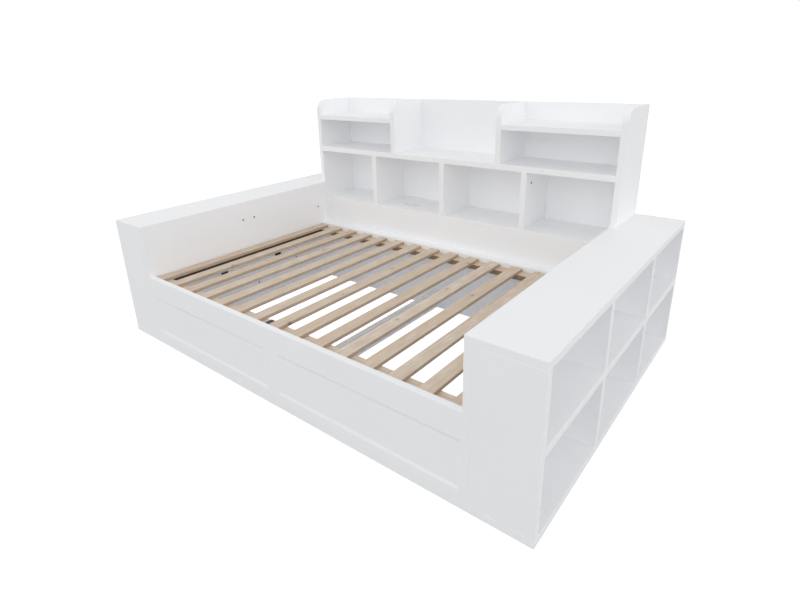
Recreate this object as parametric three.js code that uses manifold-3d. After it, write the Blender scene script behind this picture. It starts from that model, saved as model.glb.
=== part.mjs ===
import * as THREE from "three";
import { mergeVertices } from "three/addons/utils/BufferGeometryUtils.js";
import Module from "manifold-3d";

// A fixed daybed between two long storage units, with a bookcase standing behind it.
// Millimetres. +X runs along the bed, -Y is the open front, +Z is up, and Z = 0 is the floor.
// The pieces are laid out from the front plane at Y = 0, and the finished group is then centred.

const wasm = await Module();
wasm.setup();

// Mattress well: the clear space between the storage units, the front panel and the back rail.
const wellLength = 1930;
const wellDepth = 1224;

// Front panel and back rail: two boards with the same pair of framed recesses.
const railHeight = 388;
const railThick = 28;
const recessBottom = 74;
const recessTop = 281;
const recessDepth = 4;
const recessSlope = 14;
const middleStile = 68;
const endStile = 3;

// Storage units at the two ends, mirror images of each other.
const unitWidth = 265;
const unitHeight = 662;
const unitThick = 30;
const lowerCubbyHeight = 299;
const cubbiesInRow = 3;

// Slat base.
const slatCount = 15;
const slatWidth = 62;
const slatThick = 16;
const slatEdgeRadius = 1.5;
const slatSideGap = 5;
const slatEndGap = 3;
const slatBelowRail = 9;
const ledgerWidth = 64;
const ledgerHeight = 28;
const beamThick = 28;
const beamHeight = 112;

// Bookcase behind the bed, standing on the inner sides of the storage units.
const bookcaseTop = 1206;
const bookcaseDepth = 313;
const bookcaseThick = 30;
const backThick = 30;
const cornerRadius = 65;
const bottomShelfTop = 570;
const mainShelfTop = 906;
const dividerPitch = 509;
const displayWidth = 678;
const trayHeightShare = 0.68;
const trayThick = 28;
const apronThick = 28;
const apronLap = 60;
const baseRailThick = 32;

// Oval cable hole in the bottom shelf.
const cableHoleLength = 130;
const cableHoleWidth = 60;
const cableHoleFromMiddle = 300;
const cableHoleFromFront = 125;

// Every board has its edges eased, and every cut runs past the face that it opens.
const ease = 1;
const overrun = 5;

// Facets on a quarter round.
const slatFacets = 4;
const cornerFacets = 12;
const holeFacets = 12;

// Places that follow from the sizes above.
const wellEnd = wellLength / 2;
const innerSideFace = wellEnd + unitThick;
const unitEnd = wellEnd + unitWidth;
const wellFront = railThick;
const wellBack = wellFront + wellDepth;
const baseRailFront = wellBack + railThick;
const bookcaseFront = baseRailFront + baseRailThick;
const overallDepth = bookcaseFront + bookcaseDepth;
const backPanelFront = overallDepth - backThick;
const ledgerTop = railHeight - slatBelowRail - slatThick;
const bottomShelfUnder = bottomShelfTop - bookcaseThick;

const quarter = Math.PI / 2;
const sides = { left: -1, right: 1 };

const whiteLacquer = new THREE.MeshStandardMaterial({ color: 0xf1f1f0, roughness: 0.5, metalness: 0 });
const pine = new THREE.MeshStandardMaterial({ color: 0xd3b891, roughness: 0.7, metalness: 0 });

const daybed = new THREE.Group();

function add(name, material, geometry) {
  const mesh = new THREE.Mesh(geometry, material);
  mesh.name = name;
  daybed.add(mesh);
}

// The two ends of a span on one side of the middle, the lower first.
function span(side, near, far) {
  return [side * near, side * far].sort((a, b) => a - b);
}

// Outlines are drawn in (X, Y) for a run along Z, in (Y, Z) along X and in (Z, X) along Y.
function turnTo(axis, geometry) {
  const [x, y, z] = [0, 1, 2].map((i) => new THREE.Vector3().setComponent(i, 1));
  const bases = { x: [y, z, x], y: [z, x, y], z: [x, y, z] };
  return geometry.applyMatrix4(new THREE.Matrix4().makeBasis(...bases[axis]));
}

// A prism along an axis, with the edges round both ends eased.
function prism(axis, [from, to], outline, facets = 2) {
  const geometry = new THREE.ExtrudeGeometry(outline, {
    depth: to - from - 2 * ease,
    bevelThickness: ease,
    bevelSize: ease,
    bevelOffset: -ease,
    bevelSegments: 1,
    curveSegments: facets / 2,
  });
  return turnTo(axis, geometry.translate(0, 0, from + ease));
}

// A rectangle whose corners are taken off by the eased edge.
function easedRectangle([u0, u1], [v0, v1]) {
  const outline = new THREE.Shape();
  outline.moveTo(u0 + ease, v0).lineTo(u1 - ease, v0);
  outline.lineTo(u1, v0 + ease).lineTo(u1, v1 - ease);
  outline.lineTo(u1 - ease, v1).lineTo(u0 + ease, v1);
  outline.lineTo(u0, v1 - ease).lineTo(u0, v0 + ease);
  return outline.closePath();
}

// A straight board with all twelve edges eased.
function board(x, y, z) {
  return prism("z", z, easedRectangle(x, y));
}

// A rectangle with four round corners; with a radius of half its width it is an oval slot.
function roundedRectangle([u0, u1], [v0, v1], radius) {
  const outline = new THREE.Shape();
  outline.moveTo(u0 + radius, v0).lineTo(u1 - radius, v0);
  outline.absarc(u1 - radius, v0 + radius, radius, -quarter, 0);
  outline.lineTo(u1, v1 - radius).absarc(u1 - radius, v1 - radius, radius, 0, quarter);
  outline.lineTo(u0 + radius, v1).absarc(u0 + radius, v1 - radius, radius, quarter, 2 * quarter);
  outline.lineTo(u0, v0 + radius).absarc(u0 + radius, v0 + radius, radius, 2 * quarter, 3 * quarter);
  return outline;
}

// The upright of the bookcase: square at the back and the foot, round at the top of the front edge.
function roundedUpright([front, back], [foot, top]) {
  const outline = new THREE.Shape();
  outline.moveTo(front + ease, foot).lineTo(back - ease, foot);
  outline.lineTo(back, foot + ease).lineTo(back, top - ease);
  outline.lineTo(back - ease, top).lineTo(front + cornerRadius, top);
  outline.absarc(front + cornerRadius, top - cornerRadius, cornerRadius, quarter, 2 * quarter);
  return outline.lineTo(front, foot + ease).closePath();
}

// Cuts: a straight bore along an axis, and the rim where it opens in a face, eased or wider and sloping.
function bore(axis, [from, to], outline, facets = 2) {
  const shape = { depth: to - from, bevelEnabled: false, curveSegments: facets / 2 };
  return turnTo(axis, new THREE.ExtrudeGeometry(outline, shape).translate(0, 0, from));
}

function rim(axis, face, outward, outline, facets = 2, depth = ease, slope = ease) {
  const geometry = new THREE.ExtrudeGeometry(outline, {
    depth: overrun,
    bevelThickness: depth,
    bevelSize: slope,
    bevelSegments: 1,
    curveSegments: facets / 2,
  });
  return turnTo(axis, geometry.translate(0, 0, outward > 0 ? face : face - overrun));
}

function toSolid(geometry) {
  const bare = geometry.clone().deleteAttribute("normal").deleteAttribute("uv");
  const merged = mergeVertices(bare);
  return new wasm.Manifold(
    new wasm.Mesh({
      numProp: 3,
      vertProperties: merged.attributes.position.array,
      triVerts: new Uint32Array(merged.index.array),
    }),
  );
}

function cut(blank, tools) {
  const solid = tools.reduce((rest, tool) => rest.subtract(toSolid(tool)), toSolid(blank));
  const { vertProperties, triVerts } = solid.getMesh();
  const geometry = new THREE.BufferGeometry();
  geometry.setAttribute("position", new THREE.BufferAttribute(vertProperties, 3));
  geometry.setIndex(new THREE.BufferAttribute(triVerts, 1));
  const faceted = geometry.toNonIndexed();
  faceted.computeVertexNormals();
  return faceted;
}

// One storage unit: a full-height inner side, and outside it a case of two rows of cubbies that open
// outwards, with a shelf from end to end and dividers one above the other.
function storageUnit(name, side) {
  const sideBoard = span(side, wellEnd, innerSideFace);
  const caseWidth = span(side, innerSideFace, unitEnd);
  const fullDepth = [0, overallDepth];
  const inside = [unitThick, overallDepth - unitThick];
  const shelfUnder = unitThick + lowerCubbyHeight;
  const shelfTop = shelfUnder + unitThick;
  const topUnder = unitHeight - unitThick;

  add(`${name}_inner_side`, whiteLacquer, board(sideBoard, fullDepth, [0, unitHeight]));
  add(`${name}_top_board`, whiteLacquer, board(caseWidth, fullDepth, [topUnder, unitHeight]));
  add(`${name}_bottom_board`, whiteLacquer, board(caseWidth, fullDepth, [0, unitThick]));
  add(`${name}_front_end`, whiteLacquer, board(caseWidth, [0, unitThick], [unitThick, topUnder]));
  add(`${name}_back_end`, whiteLacquer, board(caseWidth, [inside[1], overallDepth], [unitThick, topUnder]));
  add(`${name}_middle_shelf`, whiteLacquer, board(caseWidth, inside, [shelfUnder, shelfTop]));

  const cubbyPitch = (inside[1] - inside[0] + unitThick) / cubbiesInRow;
  for (let i = 1; i < cubbiesInRow; i += 1) {
    const front = inside[0] + i * cubbyPitch - unitThick;
    const depth = [front, front + unitThick];
    add(`${name}_lower_divider_${i}`, whiteLacquer, board(caseWidth, depth, [unitThick, shelfUnder]));
    add(`${name}_upper_divider_${i}`, whiteLacquer, board(caseWidth, depth, [shelfTop, topUnder]));
  }
}

// A bed rail the length of the well. Its front face has two long, shallow recesses with sloping sides
// and a stile between them. The outline of each is that of its flat floor.
function framedRail(name, front) {
  const length = [-wellEnd, wellEnd];
  const height = [recessBottom + recessSlope, recessTop - recessSlope];
  const blank = prism("y", [front, front + railThick], easedRectangle([0, railHeight], length));
  const tools = Object.values(sides).map((side) => {
    const outline = new THREE.Shape();
    const [start, end] = span(side, middleStile / 2 + recessSlope, wellEnd - endStile - recessSlope);
    outline.moveTo(height[0], start).lineTo(height[1], start);
    outline.lineTo(height[1], end).lineTo(height[0], end).closePath();
    return rim("y", front, -1, outline, 2, recessDepth, recessSlope);
  });
  add(name, whiteLacquer, cut(blank, tools));
}

// The battens round the well that carry the slats, and the beam on the floor that ties the two rails.
function slatSupports() {
  const height = [ledgerTop - ledgerHeight, ledgerTop];
  const length = [-wellEnd, wellEnd];
  const sideRun = [wellFront + ledgerWidth, wellBack - ledgerWidth];
  add("front_ledger", pine, board(length, [wellFront, sideRun[0]], height));
  add("back_ledger", pine, board(length, [sideRun[1], wellBack], height));
  for (const [name, side] of Object.entries(sides))
    add(`${name}_ledger`, pine, board(span(side, wellEnd - ledgerWidth, wellEnd), sideRun, height));
  const beamWidth = [-beamThick / 2, beamThick / 2];
  add("floor_beam", whiteLacquer, board(beamWidth, [wellFront, wellBack], [0, beamHeight]));
}

// Pine slats from rail to rail, planed with round edges, the same gap between each pair.
function slats() {
  const run = [wellFront + slatEndGap, wellBack - slatEndGap];
  const height = [ledgerTop, ledgerTop + slatThick];
  const first = -wellEnd + slatSideGap;
  const pitch = (wellLength - 2 * slatSideGap - slatWidth) / (slatCount - 1);
  for (let i = 0; i < slatCount; i += 1) {
    const start = first + i * pitch;
    const section = roundedRectangle(height, [start, start + slatWidth], slatEdgeRadius);
    add(`slat_${i + 1}`, pine, prism("y", run, section, slatFacets));
  }
}

// The bottom shelf hangs between the two units and has an oval cable hole near its left middle.
function bottomShelf() {
  const depth = [bookcaseFront, backPanelFront];
  const height = [bottomShelfUnder, bottomShelfTop];
  const blank = board([-wellEnd, wellEnd], depth, height);
  const holeY = bookcaseFront + cableHoleFromFront;
  const hole = roundedRectangle(
    [-cableHoleFromMiddle - cableHoleLength / 2, -cableHoleFromMiddle + cableHoleLength / 2],
    [holeY - cableHoleWidth / 2, holeY + cableHoleWidth / 2],
    cableHoleWidth / 2,
  );
  add("bottom_shelf", whiteLacquer, cut(blank, [
    bore("z", [bottomShelfUnder - overrun, bottomShelfTop + overrun], hole, holeFacets),
    rim("z", bottomShelfTop, 1, hole, holeFacets),
    rim("z", bottomShelfUnder, -1, hole, holeFacets),
  ]));
}

// The bookcase: two round-cornered sides, a back, a row of four cubbies on the bottom shelf, and over
// the main shelf an open display space between two tray shelves.
function bookcase() {
  const depth = [bookcaseFront, backPanelFront];
  const length = [-wellEnd, wellEnd];
  const mainShelf = [mainShelfTop - bookcaseThick, mainShelfTop];
  const trayTop = mainShelfTop + trayHeightShare * (bookcaseTop - mainShelfTop);
  const displayEnd = displayWidth / 2;

  bottomShelf();
  add("main_shelf", whiteLacquer, board(length, depth, mainShelf));
  add("bookcase_back", whiteLacquer,
    board(length, [backPanelFront, overallDepth], [bottomShelfUnder, bookcaseTop]));

  [-dividerPitch, 0, dividerPitch].forEach((middle, i) => {
    const thick = [middle - bookcaseThick / 2, middle + bookcaseThick / 2];
    add(`cubby_divider_${i + 1}`, whiteLacquer, board(thick, depth, [bottomShelfTop, mainShelf[0]]));
  });

  const sideOutline = roundedUpright([bookcaseFront, overallDepth], [unitHeight, bookcaseTop]);
  const displayOutline = roundedUpright(depth, [mainShelfTop, bookcaseTop]);
  for (const [name, side] of Object.entries(sides)) {
    const sideThick = span(side, wellEnd, wellEnd + bookcaseThick);
    const displayThick = span(side, displayEnd, displayEnd + bookcaseThick);
    const tray = span(side, displayEnd + bookcaseThick, wellEnd);
    add(`${name}_bookcase_side`, whiteLacquer, prism("x", sideThick, sideOutline, cornerFacets));
    add(`${name}_display_side`, whiteLacquer, prism("x", displayThick, displayOutline, cornerFacets));
    add(`${name}_tray_shelf`, whiteLacquer, board(tray, depth, [trayTop - trayThick, trayTop]));
  }

  const apronDepth = [bookcaseFront, bookcaseFront + apronThick];
  add("apron", whiteLacquer, board(length, apronDepth, [railHeight - apronLap, bottomShelfUnder]));
  add("base_rail", whiteLacquer, board(length, [baseRailFront, bookcaseFront], [0, railHeight]));
}

for (const [name, side] of Object.entries(sides)) storageUnit(name, side);
framedRail("front_panel", 0);
framedRail("back_rail", wellBack);
slatSupports();
slats();
bookcase();

daybed.position.y = -overallDepth / 2;

export default daybed;
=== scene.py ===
# %% [markdown]
# # A white daybed with a pine slat base
#
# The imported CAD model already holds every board, batten and slat at its real size, so this lesson
# changes no shape. It sets the camera and the light of a plain studio, gives the boards their lacquer
# and the slats their wood, and adds the bolt heads and the small angles of black steel that hold the
# boards together.
#
# Everything is in metres, in the CAD model's own frame: X runs along the bed, -Y is the open front,
# Z is up, and the floor is Z = 0.

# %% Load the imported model
import math

import bmesh
import bpy
from mathutils import Matrix, Vector


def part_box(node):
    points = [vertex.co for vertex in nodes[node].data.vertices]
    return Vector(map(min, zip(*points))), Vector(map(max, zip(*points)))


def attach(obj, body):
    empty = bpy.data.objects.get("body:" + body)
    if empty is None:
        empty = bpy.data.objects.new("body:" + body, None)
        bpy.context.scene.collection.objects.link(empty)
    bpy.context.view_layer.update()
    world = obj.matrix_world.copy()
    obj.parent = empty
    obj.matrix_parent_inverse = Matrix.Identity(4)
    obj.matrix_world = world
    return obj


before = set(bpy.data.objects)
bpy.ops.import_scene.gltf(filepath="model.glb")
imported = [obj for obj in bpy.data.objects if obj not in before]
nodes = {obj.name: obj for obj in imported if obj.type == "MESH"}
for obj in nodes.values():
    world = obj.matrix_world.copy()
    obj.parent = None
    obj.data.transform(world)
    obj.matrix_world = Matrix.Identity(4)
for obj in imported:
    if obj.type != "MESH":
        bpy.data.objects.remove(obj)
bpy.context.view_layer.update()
MM = 0.001

# %% [markdown]
# ## The camera
#
# The photograph looks down on the bed from its right front corner, from a little above eye level, with
# a wide lens. A camera can be aimed by eye, but here its place, turn and lens were solved from straight
# edges of the boards, so they are written as numbers. The lens is shifted a little, because the
# photograph was cropped off its centre.

# %% Place the camera
IMAGE_WIDTH, IMAGE_HEIGHT = 800, 600
FOCAL_PIXELS = 528.16
CENTRE_PIXELS = (397.21, 256.04)
EYE = Vector((1.6853, -2.0054, 1.4137))
YAW, PITCH, ROLL = (math.radians(angle) for angle in (-38.95, -19.95, -1.476))
SENSOR_MM = 36

ahead = Vector((math.sin(YAW) * math.cos(PITCH), math.cos(YAW) * math.cos(PITCH), math.sin(PITCH)))
level = Vector((math.cos(YAW), -math.sin(YAW), 0))
above = level.cross(ahead)
right = level * math.cos(ROLL) + above * math.sin(ROLL)
up = above * math.cos(ROLL) - level * math.sin(ROLL)

lens = bpy.data.cameras.new("photo_lens")
lens.sensor_fit = "HORIZONTAL"
lens.sensor_width = SENSOR_MM
lens.lens = SENSOR_MM * FOCAL_PIXELS / IMAGE_WIDTH
lens.shift_x = (IMAGE_WIDTH / 2 - CENTRE_PIXELS[0]) / IMAGE_WIDTH
lens.shift_y = (CENTRE_PIXELS[1] - IMAGE_HEIGHT / 2) / IMAGE_WIDTH
camera = bpy.data.objects.new("photo_camera", lens)
camera.matrix_world = Matrix.Translation(EYE) @ Matrix((right, up, -ahead)).transposed().to_4x4()
bpy.context.scene.collection.objects.link(camera)
bpy.context.scene.camera = camera
print("lens mm:", round(lens.lens, 3), "shift:", round(lens.shift_x, 5), round(lens.shift_y, 5))

# %% [markdown]
# ## Two small helpers
#
# Colours are written as the hex values that a paint chart or a picture editor gives. Blender works in
# linear light, so one function turns them over. The second helper adds a shader node, sets what it is
# told, and fills each input with a number or with a link. A node that is given as an input stands for
# the first of its outputs that is in use, which is nearly always the one that is wanted.

# %% Colour and node helpers


def linear(hex_colour):
    """The linear RGBA of an sRGB hex colour."""
    channels = [int(hex_colour[i : i + 2], 16) / 255 for i in (1, 3, 5)]
    return [c / 12.92 if c <= 0.04045 else ((c + 0.055) / 1.055) ** 2.4 for c in channels] + [1]


def add_node(tree, kind, inputs=None, **settings):
    """Adds a node, with settings by name, and inputs that are values, other nodes or their outputs."""
    node = tree.nodes.new(kind)
    for name, value in settings.items():
        setattr(node, name, value)
    for socket, value in (inputs or {}).items():
        if isinstance(value, bpy.types.Node):
            value = next(output for output in value.outputs if output.enabled)
        if isinstance(value, bpy.types.NodeSocket):
            tree.links.new(value, node.inputs[socket])
        else:
            node.inputs[socket].default_value = value
    return node


print("#eeeeee in linear light:", [round(c, 3) for c in linear("#eeeeee")])

# %% [markdown]
# ## The studio
#
# The photograph was taken in a white room that gives an even light from all round, with wide softboxes
# low in front, to the right and to the left. A softbox could be an area lamp at its own place. A sun
# lamp with a wide angle is used instead, because it lights every part of so long an object alike. Each
# strength was found by rendering the lamps one by one and adding them up to the tones of the boards.
# The camera, and glossy and clear surfaces, see the world at full white, while the light that it gives
# stays at a plain level.
#
# White boards throw most of the light on to each other, and the cubbies live from light that has been
# thrown many times. Blender follows four throws, which leaves a white cubby grey, so it is asked for
# more.

# %% Light the studio
WORLD_LIGHT = 0.75
LIGHT_BOUNCES = 12
SOFT_ANGLE = math.radians(70)
# Each softbox: name, turn from the front towards +X and rise above the floor in degrees, strength
# and colour.
SOFTBOXES = [
    ("front_softbox", 0, 5, 0.6, "#f3faff"),
    ("right_softbox", 90, 5, 0.92, "#f9fbff"),
    ("left_softbox", -60, 25, 0.33, "#ffffff"),
    ("overhead_softbox", 0, 88, 0.05, "#ffffff"),
]


def seen_directly(tree):
    """1 for camera, glossy and transmission rays, and 0 for the rays that carry light."""
    path = add_node(tree, "ShaderNodeLightPath").outputs
    seen = add_node(tree, "ShaderNodeMath", {0: path["Is Camera Ray"], 1: path["Is Glossy Ray"]},
                    operation="MAXIMUM")
    return add_node(tree, "ShaderNodeMath", {0: seen, 1: path["Is Transmission Ray"]},
                    operation="MAXIMUM")


world = bpy.data.worlds.new("white_studio")
world.use_nodes = True
sky = world.node_tree
sky.nodes.clear()
strength = add_node(sky, "ShaderNodeMapRange",
                    {"Value": seen_directly(sky), "To Min": WORLD_LIGHT, "To Max": 1.0})
background = add_node(sky, "ShaderNodeBackground", {"Color": (1, 1, 1, 1), "Strength": strength})
add_node(sky, "ShaderNodeOutputWorld", {"Surface": background})
bpy.context.scene.world = world

for name, turn, rise, power, colour in SOFTBOXES:
    lamp_data = bpy.data.lights.new(name, "SUN")
    lamp_data.angle = SOFT_ANGLE
    lamp_data.energy = power
    lamp_data.color = linear(colour)[:3]
    lamp = bpy.data.objects.new(name, lamp_data)
    turn, rise = math.radians(turn), math.radians(rise)
    source = Vector((math.sin(turn) * math.cos(rise), -math.cos(turn) * math.cos(rise), math.sin(rise)))
    lamp.rotation_euler = source.to_track_quat("Z", "Y").to_euler()
    bpy.context.scene.collection.objects.link(lamp)
bpy.context.scene.view_settings.view_transform = "Standard"
bpy.context.scene.cycles.diffuse_bounces = LIGHT_BOUNCES
print("world light:", WORLD_LIGHT, "softboxes:", len(SOFTBOXES))

# %% [markdown]
# ## The floor
#
# The ground of the photograph is pure white, even between the slats. A pale floor in this light would
# be light grey there, so the camera also sees a little glow of its own on it. The glow is only for the
# camera, so it adds no light to the bed, and it is weak enough for the bed to keep a soft shadow.
#
# Under the slats the photograph is lighter and a little bluer than a grey floor would leave it. There a
# photographer lays a white card, which throws back the light that falls between the slats, and so does
# this studio. The card also gives a faint cool light of its own, a few hundredths of the world's, since
# the photograph's ground seems to shine there.

# %% Lay the floor and the card
FLOOR_HALF = 30.0
FLOOR_GREY = "#b8b8b8"
FLOOR_GLOW = 0.8
CARD_LIFT = 1 * MM
CARD_WHITE = "#edf4fd"
CARD_LIGHT = 0.06
CARD_LIGHT_COLOUR = "#b0d5ff"


def studio_paint(name, hex_colour, light=0.0, light_colour="#ffffff"):
    """A dull paint that the camera also sees glow, and that may give a little light."""
    paint = bpy.data.materials.new(name)
    paint.use_nodes = True
    tree = paint.node_tree
    tree.nodes.clear()
    dull = add_node(tree, "ShaderNodeBsdfDiffuse", {"Color": linear(hex_colour)})
    direct = seen_directly(tree)
    glow = add_node(tree, "ShaderNodeMapRange",
                    {"Value": direct, "To Min": light, "To Max": FLOOR_GLOW})
    tint = add_node(tree, "ShaderNodeMix", {0: direct, 6: linear(light_colour), 7: linear("#ffffff")},
                    data_type="RGBA")
    shine = add_node(tree, "ShaderNodeEmission", {"Color": tint, "Strength": glow})
    both = add_node(tree, "ShaderNodeAddShader", {0: dull, 1: shine})
    add_node(tree, "ShaderNodeOutputMaterial", {"Surface": both})
    return paint


def stage_sheet(name, low, high, height, paint):
    """A flat sheet of the studio between two corners."""
    mesh = bpy.data.meshes.new(name)
    sheet = bmesh.new()
    bmesh.ops.create_grid(sheet, x_segments=1, y_segments=1, size=0.5)
    bmesh.ops.scale(sheet, vec=(high[0] - low[0], high[1] - low[1], 1), verts=sheet.verts)
    bmesh.ops.translate(sheet, vec=((low[0] + high[0]) / 2, (low[1] + high[1]) / 2, height),
                        verts=sheet.verts)
    sheet.to_mesh(mesh)
    sheet.free()
    mesh.materials.append(paint)
    piece = bpy.data.objects.new(name, mesh)
    bpy.context.scene.collection.objects.link(piece)
    return piece


stage_sheet("studio_floor", (-FLOOR_HALF, -FLOOR_HALF), (FLOOR_HALF, FLOOR_HALF), 0,
            studio_paint("pale_studio_floor", FLOOR_GREY))
well_low = (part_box("left_inner_side")[1].x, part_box("front_panel")[1].y)
well_high = (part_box("right_inner_side")[0].x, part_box("back_rail")[0].y)
card = stage_sheet("reflector_card", well_low, well_high, CARD_LIFT,
                   studio_paint("white_reflector_card", CARD_WHITE, CARD_LIGHT, CARD_LIGHT_COLOUR))
print("card size m:", [round(v, 3) for v in card.dimensions])

# %% [markdown]
# ## White satin lacquer on board
#
# The boards are particle board and MDF with a sprayed white lacquer. Lacquer is a clear skin over
# pigment, with an index of refraction near 1.5 and a satin gloss. What gives it away up close is orange
# peel, the faint ripple that a spray gun leaves, and a tone that drifts by a shade from place to place.
# A photograph of a lacquered board could be wrapped round each one, but noise in object coordinates
# needs no unwrapping and meets no seam. Real orange peel is 1 to 3 mm from crest to crest. It is drawn
# at 5 mm, since anything finer is lost at this distance.

# %% Mix the white lacquer
LACQUER_TONES = ("#f5f6f7", "#f9f9fa")
SATIN_ROUGHNESS = (0.52, 0.60)
DRIFT_MM = 320
ORANGE_PEEL_MM = 5
PEEL_HEIGHT = 0.2 * MM
PEEL_STRENGTH = 0.10


def new_material(name):
    """An empty material and its node tree."""
    material = bpy.data.materials.new(name)
    material.use_nodes = True
    material.node_tree.nodes.clear()
    return material, material.node_tree


def white_satin_lacquer():
    material, tree = new_material("white_satin_lacquer")
    place = add_node(tree, "ShaderNodeTexCoord").outputs["Object"]
    drift = add_node(tree, "ShaderNodeTexNoise",
                     {"Vector": place, "Scale": 1 / (DRIFT_MM * MM), "Detail": 2.0})
    peel = add_node(tree, "ShaderNodeTexNoise",
                    {"Vector": place, "Scale": 1 / (ORANGE_PEEL_MM * MM), "Detail": 1.0})
    colour = add_node(tree, "ShaderNodeMix", {
        0: drift, 6: linear(LACQUER_TONES[0]), 7: linear(LACQUER_TONES[1])}, data_type="RGBA")
    gloss = add_node(tree, "ShaderNodeMapRange", {
        "Value": peel, "To Min": SATIN_ROUGHNESS[0], "To Max": SATIN_ROUGHNESS[1]})
    ripple = add_node(tree, "ShaderNodeBump",
                      {"Strength": PEEL_STRENGTH, "Distance": PEEL_HEIGHT, "Height": peel})
    skin = add_node(tree, "ShaderNodeBsdfPrincipled", {
        "Base Color": colour, "Roughness": gloss, "IOR": 1.5, "Specular IOR Level": 0.2,
        "Normal": ripple})
    add_node(tree, "ShaderNodeOutputMaterial", {"Surface": skin})
    return material


lacquer = white_satin_lacquer()
print(lacquer.name, "nodes:", len(lacquer.node_tree.nodes))

# %% [markdown]
# ## Planed pine
#
# The slats and battens are bare planed pine. A pine board is cut from a trunk of growth rings: a pale
# soft band of spring wood that darkens slowly into a hard brown line of summer wood. So the pattern is
# built as the tree built it. Rings stand round an axis that runs along the piece, 2 to 11 cm below the
# face of a slat, and the face cuts them into long stripes and arches.
#
# No two slats come from the same place in a log. The bed is measured off in steps, one to each slat or
# batten, and the number of the step draws where the axis lies and how dark the piece is. The slats of
# the photograph differ in tone, and the start of the draws was tried until the darker ones fell where
# the photograph has them.

# %% Draw a log for each piece
slat_low, slat_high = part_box("slat_1")
SLAT_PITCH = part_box("slat_2")[0].x - slat_low.x
SLAT_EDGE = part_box("left_ledger")[0].x
# The battens along the bed are measured across it, from the back edge of the back one to the front.
BATTEN_EDGE = -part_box("back_ledger")[1].y
BATTEN_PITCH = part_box("back_ledger")[1].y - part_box("front_ledger")[1].y
# The steps start a little before the edge, so that no face lies on the line between two of them.
STEP_MARGIN = 0.5 * MM
# The start of the random draws.
LOG_DRAW = 13453
# The axis of a log lies up to AXIS_RANGE from the edge of its step, and up to as much below AXIS_HEIGHT.
AXIS_RANGE = 0.09
AXIS_HEIGHT = 0.36


def drawn_log(tree, turn, edge, pitch):
    """The turned coordinates, the place from the axis of the piece's own log, and the piece's tone."""
    on_bed = add_node(tree, "ShaderNodeTexCoord").outputs["Object"]
    place = add_node(tree, "ShaderNodeMapping", {"Vector": on_bed, "Rotation": (0, 0, turn)})
    across, _, height = add_node(tree, "ShaderNodeSeparateXYZ", {0: place}).outputs
    from_edge = add_node(tree, "ShaderNodeMath", {0: across, 1: edge - STEP_MARGIN},
                         operation="SUBTRACT")
    steps = add_node(tree, "ShaderNodeMath", {0: from_edge, 1: pitch}, operation="DIVIDE")
    number = add_node(tree, "ShaderNodeMath", {0: steps}, operation="FLOOR")
    drawn = add_node(tree, "ShaderNodeMath", {0: number, 1: LOG_DRAW}, operation="ADD")
    chance = add_node(tree, "ShaderNodeTexWhiteNoise", {"W": drawn}, noise_dimensions="1D")
    draw_side, draw_depth, tone = add_node(tree, "ShaderNodeSeparateColor",
                                           {0: chance.outputs["Color"]}).outputs
    within = add_node(tree, "ShaderNodeMath", {0: steps}, operation="FRACT")
    local = add_node(tree, "ShaderNodeMath", {0: within, 1: pitch}, operation="MULTIPLY")
    side = add_node(tree, "ShaderNodeMath", {0: draw_side, 1: AXIS_RANGE}, operation="MULTIPLY")
    axis_x = add_node(tree, "ShaderNodeMath", {0: local, 1: side}, operation="SUBTRACT")
    depth = add_node(tree, "ShaderNodeMath", {0: draw_depth, 1: -AXIS_RANGE, 2: AXIS_HEIGHT},
                     operation="MULTIPLY_ADD")
    axis_z = add_node(tree, "ShaderNodeMath", {0: height, 1: depth}, operation="SUBTRACT")
    return place, axis_x, axis_z, tone


print("slat pitch mm:", round(SLAT_PITCH / MM, 2), "slat width mm:",
      round((slat_high.x - slat_low.x) / MM, 1))

# %% [markdown]
# ## Knots
#
# A knot is the foot of a branch. It crosses the board as a small dark oval, longer along the grain, and
# the rings part round it. The knots that the photograph shows are listed by their place on the bed.
# A few more come from a cell pattern, at one to every slat or two. Each knot gives two fields: how dark
# the wood is there, and how strongly the rings are pushed aside.

# %% Set out the knots
# X and Y of each knot in metres, its half width in millimetres, and how dark it is.
KNOTS = [
    (0.391, -0.416, 5, 0.5),
    (0.385, -0.015, 4, 0.5),
    (-0.009, 0.044, 5, 0.5),
    (0.014, -0.360, 4, 0.5),
    (-0.222, -0.368, 4, 0.9),
    (-0.772, -0.430, 5, 0.8),
]
# Distances along the grain are shortened to this share, which draws a knot longer that way.
KNOT_STRETCH = 0.6
# A knot is dark up to the first of these shares of its half width and gone at the second, and its push
# on the rings ends at the third.
KNOT_REACH_SHARES = (0.6, 1.2, 4)
# The cells that carry the other knots. The same three reaches are shares of a cell here.
KNOT_CELL_MM = 330
SPARE_KNOT_SHARES = (0.010, 0.020, 0.07)
SPARE_KNOT_DARKNESS = 0.5


def knot_fields(tree, reach, solid, end, push_end, darkness):
    """How dark the wood is at a distance from a knot, and how strongly the rings are pushed there."""
    dark = add_node(tree, "ShaderNodeMapRange", {
        "Value": reach, "From Min": solid, "From Max": end, "To Min": darkness, "To Max": 0.0})
    push = add_node(tree, "ShaderNodeMapRange", {
        "Value": reach, "From Min": 0.0, "From Max": push_end, "To Min": 1.0, "To Max": 0.0},
        interpolation_type="SMOOTHSTEP")
    return dark, push


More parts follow.
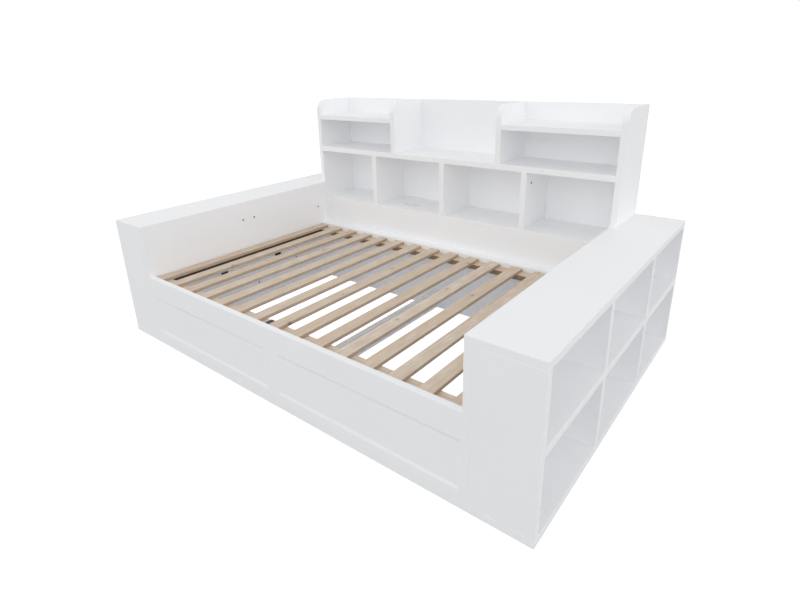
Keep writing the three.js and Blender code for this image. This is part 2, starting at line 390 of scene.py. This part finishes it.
def knots(tree, place, turn):
    """The darkness and the push of all knots, each the strongest of its kind at a point."""
    across, along, _ = add_node(tree, "ShaderNodeSeparateXYZ", {0: place}).outputs
    shortened = add_node(tree, "ShaderNodeMapping", {"Vector": place, "Scale": (1, KNOT_STRETCH, 0)})
    cells = add_node(tree, "ShaderNodeTexVoronoi",
                     {"Vector": shortened, "Scale": 1 / (KNOT_CELL_MM * MM)}, voronoi_dimensions="2D")
    dark, push = knot_fields(tree, cells, *SPARE_KNOT_SHARES, SPARE_KNOT_DARKNESS)
    for x, y, half_mm, darkness in KNOTS:
        spot = Matrix.Rotation(turn, 3, "Z") @ Vector((x, y, 0))
        aside = add_node(tree, "ShaderNodeMath", {0: across, 1: spot.x}, operation="SUBTRACT")
        onward = add_node(tree, "ShaderNodeMath", {0: along, 1: spot.y}, operation="SUBTRACT")
        onward = add_node(tree, "ShaderNodeMath", {0: onward, 1: KNOT_STRETCH}, operation="MULTIPLY")
        flat = add_node(tree, "ShaderNodeCombineXYZ", {0: aside, 1: onward})
        reach = add_node(tree, "ShaderNodeVectorMath", {0: flat}, operation="LENGTH").outputs["Value"]
        edges = [half_mm * MM * share for share in KNOT_REACH_SHARES]
        one_dark, one_push = knot_fields(tree, reach, *edges, darkness)
        dark = add_node(tree, "ShaderNodeMath", {0: dark, 1: one_dark}, operation="MAXIMUM")
        push = add_node(tree, "ShaderNodeMath", {0: push, 1: one_push}, operation="MAXIMUM")
    return dark, push


print("listed knots:", len(KNOTS), "cell mm:", KNOT_CELL_MM)

# %% [markdown]
# ## Growth rings
#
# Blender's wave texture draws rings round an axis. Its saw profile rises slowly and drops at once, as
# the tone of a year's growth does, and its own distortion bends the rings. The distance along the axis
# is shortened to a twentieth, so that the bends are long. The rings are 6.5 mm apart, as in fast grown
# pine.

# %% Count the rings
RING_MM = 6.5
GRAIN_STRETCH = 0.05
# The rings are lifted by this many of their own widths at the heart of a knot.
RING_LIFT = 1.6
# At a scale of 1 the wave texture repeats after a tenth of pi units.
WAVE_REPEAT = math.pi / 10
# The shares of a ring where the wood starts to darken and where it is darkest.
LATE_WOOD_SHARES = (0.25, 0.95)


def late_wood(tree, place, axis_x, axis_z, push):
    """0 in the spring wood of a ring, and 1 in its summer wood."""
    _, along, _ = add_node(tree, "ShaderNodeSeparateXYZ", {0: place}).outputs
    short = add_node(tree, "ShaderNodeMath", {0: along, 1: GRAIN_STRETCH}, operation="MULTIPLY")
    lifted = add_node(tree, "ShaderNodeMath", {0: push, 1: RING_LIFT * RING_MM * MM, 2: axis_z},
                      operation="MULTIPLY_ADD")
    log = add_node(tree, "ShaderNodeCombineXYZ", {0: axis_x, 1: short, 2: lifted})
    rings = add_node(tree, "ShaderNodeTexWave", {
        "Vector": log, "Scale": WAVE_REPEAT / (RING_MM * MM), "Distortion": 9.0, "Detail": 2.0,
        "Detail Scale": 0.25}, wave_type="RINGS", rings_direction="Y", wave_profile="SAW")
    return add_node(tree, "ShaderNodeMapRange", {
        "Value": rings.outputs["Fac"], "From Min": LATE_WOOD_SHARES[0],
        "From Max": LATE_WOOD_SHARES[1]}, interpolation_type="SMOOTHSTEP")


print("rings per metre:", round(1 / (RING_MM * MM)))

# %% [markdown]
# ## Fibres and tones
#
# The tone of a board also drifts in clouds and patches, and fine fibres run through it. All three are
# noise that is stretched along the grain. Real fibres are a few hundredths of a millimetre wide and
# would be lost at this distance, so they are drawn at 2.5 mm. The colours go on in layers, from the pale
# spring wood up to the heart of a knot.

# %% Set the tones of the wood
SPRING_WOOD = "#e7d9ca"
FIBRE_MM = 2.5
# Clouds and patches: their size, and the share to which distances along the grain are shortened.
CLOUD_MM, CLOUD_STRETCH = 16, 0.18
PATCH_MM, PATCH_STRETCH = 34, 0.4
# The part of a noise's range that is spread over the whole, because noise seldom leaves it.
NOISE_RANGE = (0.3, 0.7)


def veil(tree, place, stretch, size_mm, detail):
    """Noise that is stretched along the grain and spread to run from 0 to 1."""
    strands = add_node(tree, "ShaderNodeMapping", {"Vector": place, "Scale": (1, stretch, 1)})
    cloud = add_node(tree, "ShaderNodeTexNoise",
                     {"Vector": strands, "Scale": 1 / (size_mm * MM), "Detail": detail})
    return add_node(tree, "ShaderNodeMapRange",
                    {"Value": cloud, "From Min": NOISE_RANGE[0], "From Max": NOISE_RANGE[1]})


def wood_colour(tree, late, fibre, place, tone, push, dark):
    """The colour of a planed face."""
    cloud = veil(tree, place, CLOUD_STRETCH, CLOUD_MM, 2.0)
    patch = veil(tree, place, PATCH_STRETCH, PATCH_MM, 2.0)
    # Each layer: where it lies, the share that it covers at most, and its colour.
    layers = [
        (late, 0.65, "#b89d83"),
        (fibre, 0.45, "#bfa78e"),
        (cloud, 0.6, "#ebe0d3"),
        (patch, 0.5, "#c8b198"),
        (tone, 0.5, "#ccb49b"),
        (push, 0.3, "#b0937a"),
        (dark, 1.0, "#5f4634"),
    ]
    wood = linear(SPRING_WOOD)
    for field, share, hex_colour in layers:
        cover = add_node(tree, "ShaderNodeMath", {0: field, 1: share}, operation="MULTIPLY")
        wood = add_node(tree, "ShaderNodeMix", {0: cover, 6: wood, 7: linear(hex_colour)},
                        data_type="RGBA")
    return wood


print("sizes of fibre, cloud and patch in mm:", FIBRE_MM, CLOUD_MM, PATCH_MM)

# %% [markdown]
# ## The finished pine
#
# The narrow sides of a piece carry painted shade. Their colour is multiplied by a darker one, partly for
# the browner tone of a sawn side and partly for the shade that a side lies in. The sides of the battens,
# which lie in the shade under the slats, get a much darker painted shade. The way that a face points
# tells sides from tops.
# Summer wood is harder, so it stands up a little from the planer and shines a little more.
#
# The grain of the front and back battens runs along X. Their copy of the material turns the coordinates
# by a right angle before anything else.

# %% Grow the pine
# A face that points up or down by less than the first of these shares is a side and gets the whole
# painted side shade, and by more than the second it is a planed top without it.
SIDE_SHARES = (0.35, 0.9)
PLANED_ROUGHNESS = (0.68, 0.56)
GRAIN_HEIGHT = 0.25 * MM
GRAIN_STRENGTH = 0.35
LATE_WOOD_HEIGHT_SHARE = 0.6


def planed_pine(name, turn, edge, pitch, painted_side_shade):
    """Pine whose grain runs along Y before the turn, with one log for each pitch from the edge."""
    material, tree = new_material(name)
    place, axis_x, axis_z, tone = drawn_log(tree, turn, edge, pitch)
    dark, push = knots(tree, place, turn)
    late = late_wood(tree, place, axis_x, axis_z, push)
    fibre = veil(tree, place, GRAIN_STRETCH, FIBRE_MM, 3.0)
    wood = wood_colour(tree, late, fibre, place, tone, push, dark)

    # Painted shade: faces that point sideways are multiplied by the darker side colour that is passed
    # in, which stands for the shade on the sides, with a little of a sawn side's own browner tone.
    normal = add_node(tree, "ShaderNodeNewGeometry").outputs["Normal"]
    upward = add_node(tree, "ShaderNodeSeparateXYZ", {0: normal}).outputs["Z"]
    flatness = add_node(tree, "ShaderNodeMath", {0: upward}, operation="ABSOLUTE")
    side = add_node(tree, "ShaderNodeMapRange", {
        "Value": flatness, "From Min": SIDE_SHARES[0], "From Max": SIDE_SHARES[1], "To Min": 1.0,
        "To Max": 0.0}, interpolation_type="SMOOTHSTEP")
    wood = add_node(tree, "ShaderNodeMix", {0: side, 6: wood, 7: linear(painted_side_shade)},
                    data_type="RGBA", blend_type="MULTIPLY")

    relief = add_node(tree, "ShaderNodeMath", {0: late, 1: LATE_WOOD_HEIGHT_SHARE, 2: fibre},
                      operation="MULTIPLY_ADD")
    bump = add_node(tree, "ShaderNodeBump",
                    {"Strength": GRAIN_STRENGTH, "Distance": GRAIN_HEIGHT, "Height": relief})
    roughness = add_node(tree, "ShaderNodeMapRange", {
        "Value": late, "To Min": PLANED_ROUGHNESS[0], "To Max": PLANED_ROUGHNESS[1]})
    surface = add_node(tree, "ShaderNodeBsdfPrincipled",
                       {"Base Color": wood, "Roughness": roughness, "IOR": 1.45, "Normal": bump})
    add_node(tree, "ShaderNodeOutputMaterial", {"Surface": surface})
    return material


# The side colours are painted shade. It is light on the slats, where a sawn side's browner tone is part
# of it, darker on the front and back battens, and darkest on the side battens, which lie deep in the
# shade under the slats.
slat_pine = planed_pine("planed_pine_slat", 0.0, SLAT_EDGE, SLAT_PITCH, "#e3ddd5")
side_batten_pine = planed_pine("pine_side_batten_painted_shade", 0.0, SLAT_EDGE, SLAT_PITCH, "#574437")
long_batten_pine = planed_pine("pine_long_batten_painted_shade", math.pi / 2, BATTEN_EDGE, BATTEN_PITCH,
                               "#b3a48f")
print(slat_pine.name, "nodes:", len(slat_pine.node_tree.nodes))

# %% [markdown]
# ## Giving the CAD nodes their finish
#
# Each CAD node has one material slot. Its new material goes in that slot, and its mesh stays as it is.

# %% Paint the boards and the wood
BATTENS = {
    "front_ledger": long_batten_pine,
    "back_ledger": long_batten_pine,
    "left_ledger": side_batten_pine,
    "right_ledger": side_batten_pine,
}
counts = {}
for name, part in nodes.items():
    finish = BATTENS.get(name, slat_pine if name.startswith("slat_") else lacquer)
    part.material_slots[0].material = finish
    counts[finish.name] = counts.get(finish.name, 0) + 1
print("finishes:", counts)

# %% [markdown]
# ## Bolt heads
#
# Small dark dots show on the inner face of the left unit, three above the slats and two below them, and
# one more inside the bookcase. They are taken for the heads of the bolts that hold the boards: low round
# heads with a hexagon socket, of steel with a black oxide skin. Black oxide is a thin chemical film, so
# the metal keeps its own gloss and only turns dark grey. The right unit hides the same face, so its
# heads are a mirrored guess.
#
# A head could be cut from a cylinder with a boolean. It is made here as it is turned: a disc is pulled
# up, its top edge is rounded, and a hexagon is bridged to the rim of the top and pushed down.

# %% Blacken the steel
OXIDE_TONES = ("#3c3e40", "#56585a")
OXIDE_ROUGHNESS = (0.35, 0.55)
OXIDE_GRAIN_MM = 0.8
OXIDE_HEIGHT = 0.05 * MM
OXIDE_STRENGTH = 0.2


def black_oxide_steel():
    material, tree = new_material("black_oxide_steel")
    place = add_node(tree, "ShaderNodeTexCoord").outputs["Object"]
    grain = add_node(tree, "ShaderNodeTexNoise",
                     {"Vector": place, "Scale": 1 / (OXIDE_GRAIN_MM * MM), "Detail": 3.0})
    colour = add_node(tree, "ShaderNodeMix", {
        0: grain, 6: linear(OXIDE_TONES[0]), 7: linear(OXIDE_TONES[1])}, data_type="RGBA")
    gloss = add_node(tree, "ShaderNodeMapRange", {
        "Value": grain, "To Min": OXIDE_ROUGHNESS[0], "To Max": OXIDE_ROUGHNESS[1]})
    bump = add_node(tree, "ShaderNodeBump",
                    {"Strength": OXIDE_STRENGTH, "Distance": OXIDE_HEIGHT, "Height": grain})
    metal = add_node(tree, "ShaderNodeBsdfPrincipled", {
        "Base Color": colour, "Metallic": 0.85, "Roughness": gloss, "Normal": bump})
    add_node(tree, "ShaderNodeOutputMaterial", {"Surface": metal})
    return material


dark_steel = black_oxide_steel()
print(dark_steel.name, "nodes:", len(dark_steel.node_tree.nodes))

# %% Turn a bolt head
HEAD_RADIUS = 5.0 * MM
HEAD_HEIGHT = 2.0 * MM
HEAD_EDGE = 0.9 * MM
SOCKET_RADIUS = 2.4 * MM
SOCKET_DEPTH = 1.3 * MM
HEAD_SEGMENTS = 24
# The top is inset by this share of the radius, so that rounding its edge doesn't reach the socket. The
# edge is what lies beyond the second share.
HEAD_INSET_SHARE = 0.35
HEAD_EDGE_SHARE = 0.9
SAME_HEIGHT = 1e-6


def bolt_head(mesh):
    """One head that stands on Z = 0 and faces +Z."""
    rim = bmesh.ops.create_circle(mesh, segments=HEAD_SEGMENTS, radius=HEAD_RADIUS, cap_ends=True)
    base = rim["verts"][0].link_faces[0]
    grown = bmesh.ops.extrude_face_region(mesh, geom=[base])["geom"]
    top_verts = [part for part in grown if isinstance(part, bmesh.types.BMVert)]
    top_face = next(part for part in grown if isinstance(part, bmesh.types.BMFace))
    bmesh.ops.translate(mesh, verts=top_verts, vec=(0, 0, HEAD_HEIGHT))
    bmesh.ops.inset_region(mesh, faces=[top_face], thickness=HEAD_RADIUS * HEAD_INSET_SHARE)
    rounded = [edge for edge in mesh.edges
               if all(abs(vert.co.z - HEAD_HEIGHT) < SAME_HEIGHT for vert in edge.verts)
               and all(vert.co.xy.length > HEAD_RADIUS * HEAD_EDGE_SHARE for vert in edge.verts)]
    bmesh.ops.bevel(mesh, geom=rounded, offset=HEAD_EDGE, offset_type="OFFSET", segments=4,
                    profile=0.5, affect="EDGES", material=-1)
    hexagon = bmesh.ops.create_circle(mesh, segments=6, radius=SOCKET_RADIUS, cap_ends=False)["verts"]
    bmesh.ops.translate(mesh, verts=hexagon, vec=(0, 0, HEAD_HEIGHT))
    bmesh.ops.delete(mesh, geom=[top_face], context="FACES_ONLY")
    rings = [edge for edge in mesh.edges if edge.is_boundary or edge.is_wire]
    bmesh.ops.bridge_loops(mesh, edges=rings)
    socket = [edge for edge in mesh.edges if edge.is_boundary]
    walls = bmesh.ops.extrude_edge_only(mesh, edges=socket)["geom"]
    low = [part for part in walls if isinstance(part, bmesh.types.BMVert)]
    bmesh.ops.translate(mesh, verts=low, vec=(0, 0, -SOCKET_DEPTH))
    bmesh.ops.contextual_create(mesh, geom=low)
    bmesh.ops.recalc_face_normals(mesh, faces=mesh.faces)


# %% Set the heads on the boards
# Y and Z of the heads on the inner side of each unit.
UNIT_HEADS = {
    "front_upper_bolt": (-0.194, 0.554),
    "middle_upper_bolt": (-0.113, 0.554),
    "rear_bolt": (0.417, 0.504),
    "rear_lower_bolt": (0.184, 0.207),
    "middle_lower_bolt": (-0.134, 0.130),
}
# Each head: its name, its board, the way that it faces along X, and its Y and Z.
HEADS = [(f"{side}_{name}", f"{side}_inner_side", facing, y, z)
         for side, facing in (("left", 1), ("right", -1)) for name, (y, z) in UNIT_HEADS.items()]
HEADS.append(("divider_bolt", "cubby_divider_3", 1, 0.565, 0.812))


def add_piece(name, build, placement, material):
    """Builds a piece at the origin, moves its mesh into place, and hands it to the frame."""
    shape = bmesh.new()
    build(shape)
    bmesh.ops.transform(shape, matrix=placement, verts=shape.verts)
    data = bpy.data.meshes.new(name)
    shape.to_mesh(data)
    shape.free()
    data.materials.append(material)
    piece = bpy.data.objects.new(name, data)
    bpy.context.scene.collection.objects.link(piece)
    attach(piece, "root")
    return piece


for name, board, facing, y, z in HEADS:
    low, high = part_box(board)
    face = high.x if facing > 0 else low.x
    turned = Matrix.Rotation(facing * math.pi / 2, 4, "Y")
    placement = Matrix.Translation((face, y, z)) @ turned
    head = add_piece(name, bolt_head, placement, dark_steel)
    print(head.name, "faces:", len(head.data.polygons))

# %% [markdown]
# ## Black angles under the slats
#
# Between two slats a small black mark lies on the inner half of the front batten, and two more show
# below the slats on the side of the left unit. They have the size and the place of steel angles, bent
# from flat strip with the same black skin. A box scaled flat would show no bend. Each is made here as it
# is bent: an L is drawn, pulled out to the width of the strip, and its sharp edges are broken. The
# angles of the right unit are a mirrored guess.

# %% Bend the angles
STEEL = 2.0 * MM
STEEL_EDGE_SHARE = 0.3
# The clip on the front batten: its width, its two legs and its place along the bed.
CLIP_WIDTH, CLIP_TOP, CLIP_DROP = 30 * MM, 34 * MM, 24 * MM
CLIP_ACROSS = -0.064
# The angles on the side boards: width and legs, and the Y and the foot of each.
ANGLE_WIDTH, ANGLE_TALL, ANGLE_REACH = 46 * MM, 12 * MM, 12 * MM
ANGLE_PLACES = [(-0.369, 0.261), (0.034, 0.266)]


def angle_strip(width, leg, drop):
    """A builder of an angle: one leg lies along -Y on Z = 0, and the other hangs down at Y = 0."""

    def build(mesh):
        outline = ((-leg, 0), (0, 0), (0, -drop), (STEEL, -drop), (STEEL, STEEL), (-leg, STEEL))
        corners = [mesh.verts.new((-width / 2, y, z)) for y, z in outline]
        grown = bmesh.ops.extrude_face_region(mesh, geom=[mesh.faces.new(corners)])["geom"]
        far_end = [part for part in grown if isinstance(part, bmesh.types.BMVert)]
        bmesh.ops.translate(mesh, verts=far_end, vec=(width, 0, 0))
        bmesh.ops.recalc_face_normals(mesh, faces=mesh.faces)
        bmesh.ops.bevel(mesh, geom=mesh.edges[:], offset=STEEL * STEEL_EDGE_SHARE, offset_type="OFFSET",
                        segments=3, profile=0.5, affect="EDGES", material=-1)

    return build


batten_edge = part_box("front_ledger")[1]
clip_place = Matrix.Translation((CLIP_ACROSS, batten_edge.y, batten_edge.z))
clip = add_piece("front_batten_clip", angle_strip(CLIP_WIDTH, CLIP_TOP, CLIP_DROP), clip_place,
                 dark_steel)
print(clip.name, "size mm:", [round(v / MM, 1) for v in clip.dimensions])
for side, facing in (("left", 1), ("right", -1)):
    low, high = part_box(side + "_inner_side")
    face = high.x if facing > 0 else low.x
    # The long leg stands up against the board, and the short one reaches into the well at its foot.
    stand = Matrix(((0, 0, -facing, 0), (facing, 0, 0, 0), (0, -1, 0, 0), (0, 0, 0, 1)))
    for number, (y, foot) in enumerate(ANGLE_PLACES, 1):
        placement = Matrix.Translation((face + facing * STEEL, y, foot + STEEL)) @ stand
        angle = add_piece(f"{side}_side_angle_{number}",
                          angle_strip(ANGLE_WIDTH, ANGLE_TALL, ANGLE_REACH),
                          placement, dark_steel)
        print(angle.name, "size mm:", [round(v / MM, 1) for v in angle.dimensions])
